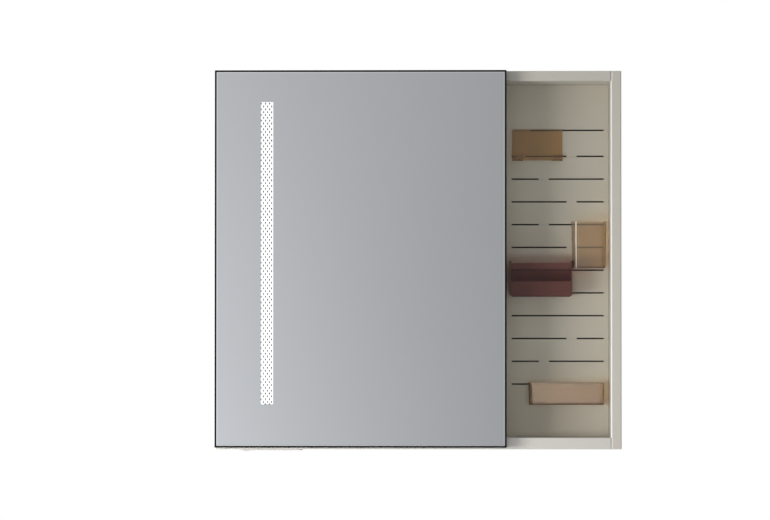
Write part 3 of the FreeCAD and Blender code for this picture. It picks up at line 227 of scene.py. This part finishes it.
class Finish:
    """A node material with a Principled shader and the object's own coordinates."""

    def __init__(self, name, colour, roughness, metallic=0.0, ior=1.5):
        self.material, self.nodes, self.links = new_material(name)
        self.shader = self.nodes["Principled BSDF"]
        self.colour = colour
        self.roughness = roughness
        self.set("Base Color", colour)
        self.set("Roughness", roughness)
        self.set("Metallic", metallic)
        self.set("IOR", ior)
        self.coordinates = self.nodes.new("ShaderNodeTexCoord").outputs["Object"]

    def set(self, socket, value):
        """Gives one of the shader's sockets a value."""
        self.shader.inputs[socket].default_value = value

    def stretched(self, stretch):
        """The object's coordinates, stretched along each axis."""
        mapping = self.nodes.new("ShaderNodeMapping")
        mapping.inputs["Scale"].default_value = stretch
        self.links.new(self.coordinates, mapping.inputs["Vector"])
        return mapping.outputs["Vector"]

    def noise(self, size, detail=2.0, stretch=None):
        """A noise whose blobs are about that size."""
        made = self.nodes.new("ShaderNodeTexNoise")
        made.inputs["Scale"].default_value = 1 / size
        made.inputs["Detail"].default_value = detail
        self.links.new(self.stretched(stretch) if stretch else self.coordinates, made.inputs["Vector"])
        return made.outputs["Fac"]

    def spots(self, size):
        """Cells about that size, as the distance from their centres."""
        made = self.nodes.new("ShaderNodeTexVoronoi")
        made.inputs["Scale"].default_value = 1 / size
        self.links.new(self.coordinates, made.inputs["Vector"])
        return made.outputs["Distance"]

    def inside(self, low, high):
        """One inside the box between two points in the object's coordinates, nought outside."""
        axes = self.nodes.new("ShaderNodeSeparateXYZ")
        self.links.new(self.coordinates, axes.inputs["Vector"])
        found = None
        for axis, start, end in zip("XYZ", low, high):
            near = calculate(self.nodes, self.links, "COMPARE",
                             axes.outputs[axis], (start + end) / 2, (end - start) / 2)
            found = calculate(self.nodes, self.links, "MULTIPLY", found, near) if found else near
        return found

    def ranged(self, source, low, high):
        """Maps a noise or a mask onto low to high."""
        return map_range(self.nodes, self.links, source, noise_start, noise_end, low, high)

    def vary_colour(self, source, other, amount=1.0):
        """Mixes the colour so far with another one by the source."""
        mix = self.nodes.new("ShaderNodeMix")
        mix.data_type = "RGBA"
        socket = self.shader.inputs["Base Color"]
        if socket.is_linked:
            self.links.new(socket.links[0].from_socket, mix.inputs["A"])
        else:
            mix.inputs["A"].default_value = self.colour
        mix.inputs["B"].default_value = other
        self.links.new(self.ranged(source, 0.0, amount), mix.inputs["Factor"])
        self.links.new(mix.outputs["Result"], socket)

    def vary_roughness(self, source, spread):
        """Makes the roughness rise and fall by the spread."""
        rough = self.ranged(source, self.roughness - spread, self.roughness + spread)
        self.links.new(rough, self.shader.inputs["Roughness"])

    def bump(self, source, depth, strength):
        """Adds bumps of that depth to those that are already there."""
        made = self.nodes.new("ShaderNodeBump")
        made.inputs["Distance"].default_value = depth
        made.inputs["Strength"].default_value = strength
        socket = self.shader.inputs["Normal"]
        if socket.is_linked:
            self.links.new(socket.links[0].from_socket, made.inputs["Normal"])
        self.links.new(source, made.inputs["Height"])
        self.links.new(made.outputs["Normal"], socket)


def darker(colour, factor):
    """The colour with that share of its light."""
    return tuple(value * factor for value in colour[:3]) + (1.0,)


def powder_coat(name, colour, roughness):
    """Powder coat: an even colour with a fine orange-peel skin."""
    made = Finish(name, colour, roughness)
    made.vary_colour(made.noise(size=0.16), darker(colour, 0.955))
    made.vary_colour(made.noise(size=0.0009), darker(colour, 0.97))
    made.vary_roughness(made.noise(size=0.05), spread=0.04)
    made.bump(made.noise(size=0.0011, detail=3.0), depth=0.00006, strength=0.35)
    return made


def post_paint_and_light(name, side):
    """Powder coat of a post, with a painted highlight on the bevel beside the bay, a painted highlight and
    painted shade at its joints with the rails, and painted shade along its outer edge.
    """
    made = powder_coat(name, body_grey, 0.45)
    low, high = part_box("side_panel_" + side)
    sign = 1 if side == "right" else -1
    inner, outer = (low.x, high.x) if sign == 1 else (high.x, low.x)
    floor_top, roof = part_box("partition")[0].z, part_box("partition")[1].z

    def strip(start, end, foot, head, other, amount):
        x_pair = sorted((start, end))
        zone = made.inside((x_pair[0], low.y - edge_zone, foot), (x_pair[1], low.y + edge_zone, head))
        made.vary_colour(zone, other, amount)

    # Painted highlight on the bevel beside the bay.
    strip(inner - sign * edge_zone, inner + sign * edge_zone, floor_top, roof, painted_bevel_highlight, amount=0.8)
    for foot, head in ((low.z, floor_top), (roof, high.z)):
        # Painted highlight, then painted shade, at the joints with the top and bottom rails.
        strip(inner, inner + sign * joint_bevel, foot, head, painted_joint_highlight, amount=0.7)
        strip(inner - sign * edge_zone, inner + sign * joint_line, foot, head, painted_joint_shade, amount=0.55)
    # Painted shade along the outer edge.
    strip(outer - sign * outer_edge, outer + sign * edge_zone, low.z, high.z, painted_edge_shade, amount=0.8)
    return made


def back_paint_and_shade():
    """Powder coat of the back, with painted shade where the slotted panel hides it: a near black that keeps
    the slots dark.
    """
    made = powder_coat("back_paint_and_shade", back_grey, 0.5)
    low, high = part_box("slotted_panel")
    # Painted shade: near black behind the slotted panel.
    behind = made.inside((low.x, low.y, low.z), (high.x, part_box("back_panel")[1].y - sheet_skin, high.z))
    made.vary_colour(behind, painted_cavity_shade, amount=0.9)
    return made


def foot_paint_lit():
    """Powder coat of the bottom section: painted light makes it a little paler than the body, and paler
    still on the upward face of the bay's floor.
    """
    # Painted light: the bottom section's paint is paler than the body's.
    made = powder_coat("foot_paint_lit", painted_lit_foot_grey, 0.45)
    low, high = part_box("bottom_panel")
    floor_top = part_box("partition")[0].z
    # Painted light on the upward face of the bay's floor.
    upward = made.inside((low.x, low.y + edge_zone, floor_top - sheet_skin),
                         (high.x, high.y, floor_top + sheet_skin))
    made.vary_colour(upward, painted_bay_floor_light, amount=0.5)
    return made


def moulded(name, colour, roughness):
    """Moulded plastic: a fine even grain and soft sink marks."""
    made = Finish(name, colour, roughness)
    made.vary_colour(made.noise(size=0.02), darker(colour, 0.95))
    made.vary_roughness(made.noise(size=0.006), spread=0.05)
    made.bump(made.spots(size=0.0006), depth=0.00003, strength=0.3)
    return made


def metal(name, colour, roughness, grain):
    """Metal with a grain: streaks along the axis whose stretch is small."""
    made = Finish(name, colour, roughness, metallic=1.0)
    made.vary_colour(made.noise(size=0.012), darker(colour, 0.86))
    made.vary_roughness(made.noise(size=0.0015, detail=3.0, stretch=grain), spread=0.08)
    made.bump(made.noise(size=0.0008, stretch=grain), depth=0.00002, strength=0.25)
    return made


def black_coat(name, colour, roughness):
    """Black coated metal, nearly matt."""
    made = Finish(name, colour, roughness)
    made.set("Specular IOR Level", 0.16)
    made.vary_colour(made.noise(size=0.06), darker(colour, 0.7))
    made.vary_roughness(made.noise(size=0.03), spread=0.05)
    made.bump(made.noise(size=0.0009, detail=3.0), depth=0.00004, strength=0.3)
    return made


def clear_plastic(name, colour, roughness, clear, depth_colour, density):
    """Clear coloured plastic or glass: a tint for each wall, a little more by depth, and lamps shine in."""
    made = Finish(name, colour, roughness, ior=1.46)
    made.set("Transmission Weight", clear)
    made.vary_colour(made.noise(size=0.03), darker(colour, 0.96))
    made.vary_roughness(made.noise(size=0.012), spread=roughness * 0.6)
    made.bump(made.noise(size=0.03), depth=0.0001, strength=0.12)
    depth = made.nodes.new("ShaderNodeVolumeAbsorption")
    depth.inputs["Color"].default_value = depth_colour
    depth.inputs["Density"].default_value = density
    through = made.nodes.new("ShaderNodeBsdfTransparent")
    through.inputs["Color"].default_value = tuple(math.sqrt(value) for value in colour)
    path = made.nodes.new("ShaderNodeLightPath")
    surface = mix_shaders(made.nodes, made.links, path.outputs["Is Shadow Ray"], made.shader, through)
    output = made.nodes["Material Output"]
    made.links.new(surface, output.inputs["Surface"])
    made.links.new(depth.outputs["Volume"], output.inputs["Volume"])
    return made


def holder_plastic():
    """Amber plastic with a painted highlight along the rounded corner at its left: a pale, nearly metallic
    line that reflects the surroundings.
    """
    made = clear_plastic("amber_holder", holder_amber, 0.04, amber_clear, amber_depth, density=42.0)
    low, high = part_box("brush_holder")
    start, end = painted_highlight_span
    # Painted highlight: a pale, nearly metallic line along the left corner.
    line = made.inside((low.x + start, low.y - painted_highlight_depth, low.z),
                       (low.x + end, low.y + painted_highlight_depth, high.z))
    made.vary_colour(line, painted_corner_highlight)
    made.links.new(made.ranged(line, 0.0, painted_corner_shine), made.shader.inputs["Metallic"])
    return made


def tray_plastic():
    """Darker amber plastic, with painted light on the end wall at its right, which is tinted paler."""
    made = clear_plastic("amber_tray", tray_amber, 0.04, amber_clear, amber_depth, density=30.0)
    low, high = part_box("storage_tray")
    # Painted light: a paler tint on the end wall.
    painted_end_light_zone = made.inside((high.x - tray_end, low.y, low.z), (high.x + tray_end, high.y, high.z))
    made.vary_colour(painted_end_light_zone, painted_end_light_amber)
    return made


def mirror_finish():
    """Silvered glass, darker where the etched strip leaves it clear, with painted highlights along its left,
    right and top rims and painted shade along its bottom rim.
    """
    made = Finish("mirror", silver, 0.012, metallic=1.0)
    made.vary_colour(made.noise(size=0.5), silver_cloud)
    made.vary_roughness(made.noise(size=0.02), spread=0.006)
    made.bump(made.noise(size=0.25), depth=0.00002, strength=0.1)
    low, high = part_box("etched_light_strip")
    made.vary_colour(made.inside(low, high), clear_dot)
    low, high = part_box("mirror_glass")
    # Painted highlights on the left, right and top edges, painted shade on the bottom edge.
    rims = (((low.x, low.z), (low.x + painted_rim_width, high.z), painted_rim_highlight),
            ((high.x - painted_rim_width, low.z), (high.x, high.z), painted_rim_highlight),
            ((low.x, high.z - painted_rim_width), (high.x, high.z), painted_rim_highlight),
            ((low.x, low.z), (high.x, low.z + painted_rim_width), painted_rim_shade))
    for (left, foot), (right, head), colour in rims:
        made.vary_colour(made.inside((left, low.y, foot), (right, high.y, head)), colour)
    return made


def etched_finish():
    """Frosted glass lit from behind."""
    made = Finish("etched_white", frosted, 0.7)
    made.vary_colour(made.noise(size=0.05), frosted_cloud)
    made.bump(made.spots(size=0.0003), depth=0.00002, strength=0.3)
    made.set("Emission Color", white)
    made.set("Emission Strength", etched_glow)
    return made


def circuit_finish():
    """White circuit board, greyer between its spots."""
    made = Finish("circuit_board", linear(226, 228, 224), 0.35)
    made.vary_colour(made.spots(size=0.004), linear(196, 200, 190), amount=0.7)
    made.bump(made.noise(size=0.002), depth=0.00003, strength=0.3)
    return made


finishes = {
    "body_paint": powder_coat("body_paint", body_grey, 0.45),
    "white_sheet": powder_coat("white_sheet", linear(228, 228, 226), 0.45),
    "frame_black": black_coat("frame_black", linear(12, 12, 13), 0.42),
    "mirror": mirror_finish(),
    "etched_white": etched_finish(),
    "circuit_board": circuit_finish(),
    "zinc_steel": metal("zinc_steel", zinc, 0.32, even_grain),
    "plain_aluminium": metal("plain_aluminium", aluminium, 0.34, cross_grain),
    "shelf_glass": clear_plastic("shelf_glass", shelf_clear, 0.01, 1.0, shelf_depth, density=25.0),
    "wine_plastic": clear_plastic("wine_plastic", wine_red, 0.04, 0.75, wine_depth, density=60.0),
    "cap_plastic": moulded("cap_plastic", linear(200, 197, 190), 0.5),
    "nylon": moulded("nylon", linear(236, 233, 224), 0.42),
    "rubber": moulded("rubber", linear(38, 38, 39), 0.65),
    "driver_case": moulded("driver_case", linear(232, 232, 228), 0.45),
    "led_yellow": moulded("led_yellow", linear(240, 214, 120), 0.3),
    "opal": moulded("opal", linear(238, 238, 236), 0.5),
    "module_white": moulded("module_white", linear(207, 206, 203), 0.4),
    "lens_plastic": moulded("lens_plastic", linear(208, 207, 202), 0.12),
}
# Pieces whose finish has a tint of its own, or zones of painted light, painted highlight and painted shade
own_finishes = {
    "side_panel_left": post_paint_and_light("post_left_paint_and_light", "left"),
    "side_panel_right": post_paint_and_light("post_right_paint_and_light", "right"),
    "bottom_panel": foot_paint_lit(),
    "back_panel": back_paint_and_shade(),
    "slotted_panel": powder_coat("pan_paint", pan_grey, 0.5),
    "hook_plate": clear_plastic("amber_dark", hook_amber, 0.05, amber_clear, amber_depth, density=60.0),
    "brush_holder": holder_plastic(),
    "storage_tray": tray_plastic(),
}
for part in frame["record"]["subparts"]:
    mesh = frame["nodes"][part["node"]].data
    finish = own_finishes.get(part["node"]) or finishes[part["material_slot"]]
    mesh.materials.clear()
    mesh.materials.append(finish.material)


# Floor, wall and light

def floor_piece():
    """A pale floor well below the cabinet, which fades out far from it."""
    bpy.ops.mesh.primitive_circle_add(vertices=floor_sides, radius=floor_reach, fill_type="NGON",
                                      location=(0, 0, cad_low.z - floor_drop))
    made = bpy.context.object
    made.name = "floor"
    pale, nodes, links = new_material("floor_paper")
    shader = nodes["Principled BSDF"]
    shader.inputs["Base Color"].default_value = floor_paper
    shader.inputs["Roughness"].default_value = floor_roughness
    place = nodes.new("ShaderNodeTexCoord")
    length = nodes.new("ShaderNodeVectorMath")
    length.operation = "LENGTH"
    links.new(place.outputs["Object"], length.inputs[0])
    fade = map_range(nodes, links, length.outputs["Value"], floor_fade, floor_reach, 0.0, 1.0)
    clear = nodes.new("ShaderNodeBsdfTransparent")
    links.new(mix_shaders(nodes, links, fade, shader, clear), nodes["Material Output"].inputs["Surface"])
    made.data.materials.append(pale)


def studio_wall():
    """A grey wall in front, curved about the cabinet, for the mirror to show: lightest at its lower left."""
    corners = []
    for step in range(wall_steps + 1):
        turn = math.radians(wall_turn * (2 * step / wall_steps - 1))
        x, y = wall_radius * math.sin(turn), -wall_radius * math.cos(turn)
        corners += [(x, y, wall_low), (x, y, wall_high)]
    faces = [(2 * step, 2 * step + 2, 2 * step + 3, 2 * step + 1) for step in range(wall_steps)]
    mesh = bpy.data.meshes.new("studio_wall")
    mesh.from_pydata(corners, [], faces)
    made = add_object("studio_wall", mesh)
    grey, nodes, links = new_material("wall_grey")
    nodes.clear()
    place = nodes.new("ShaderNodeTexCoord")
    axes = nodes.new("ShaderNodeSeparateXYZ")
    links.new(place.outputs["Object"], axes.inputs["Vector"])
    leftward = map_range(nodes, links, axes.outputs["X"], wall_right, wall_left, 0.0, 1.0)
    across = calculate(nodes, links, "POWER", leftward, wall_fall)
    upward = map_range(nodes, links, axes.outputs["Z"],
                       wall_foot, wall_head, wall_light_foot, wall_light_head)
    added = calculate(nodes, links, "MULTIPLY", across, upward)
    light = nodes.new("ShaderNodeEmission")
    light.inputs["Color"].default_value = wall_tint
    links.new(calculate(nodes, links, "ADD", added, wall_dark), light.inputs["Strength"])
    output = nodes.new("ShaderNodeOutputMaterial")
    links.new(light.outputs["Emission"], output.inputs["Surface"])
    mesh.materials.append(grey)
    made.visible_camera = False
    made.visible_diffuse = False
    made.visible_transmission = False
    made.visible_shadow = False


def studio_world():
    """White for camera, glossy and transmission rays, and dimmer as a light on surfaces."""
    world = bpy.data.worlds.new("studio")
    bpy.context.scene.world = world
    world.use_nodes = True
    nodes, links = world.node_tree.nodes, world.node_tree.links
    back = nodes["Background"]
    back.inputs["Color"].default_value = white
    path = nodes.new("ShaderNodeLightPath")
    seen = path.outputs["Is Camera Ray"]
    for name in ("Is Glossy Ray", "Is Transmission Ray"):
        seen = calculate(nodes, links, "MAXIMUM", seen, path.outputs[name])
    links.new(map_range(nodes, links, seen, 0.0, 1.0, world_strength, 1.0), back.inputs["Strength"])


def area_lamp(name, place, size, power, colour=lamp_white):
    """A soft lamp aimed at the cabinet's middle, which mirrors do not show."""
    data = bpy.data.lights.new(name, "AREA")
    data.shape = "RECTANGLE"
    data.size, data.size_y = size
    data.energy = power
    data.color = colour
    made = add_object(name, data)
    look_at(made, place, (cad_low + cad_high) / 2)
    made.visible_camera = False
    made.visible_glossy = False


floor_piece()
studio_wall()
studio_world()
area_lamp("key", key_place, key_size, key_power)
area_lamp("side", side_place, side_size, side_power)
area_lamp("low", low_place, low_size, low_power, low_colour)

camera_data = bpy.data.cameras.new("camera")
camera_data.lens = camera_lens
camera_data.shift_x, camera_data.shift_y = camera_shift
camera = add_object("camera", camera_data)
look_at(camera, camera_place, camera_aim)
bpy.context.scene.camera = camera
bpy.context.scene.view_settings.view_transform = "Standard"
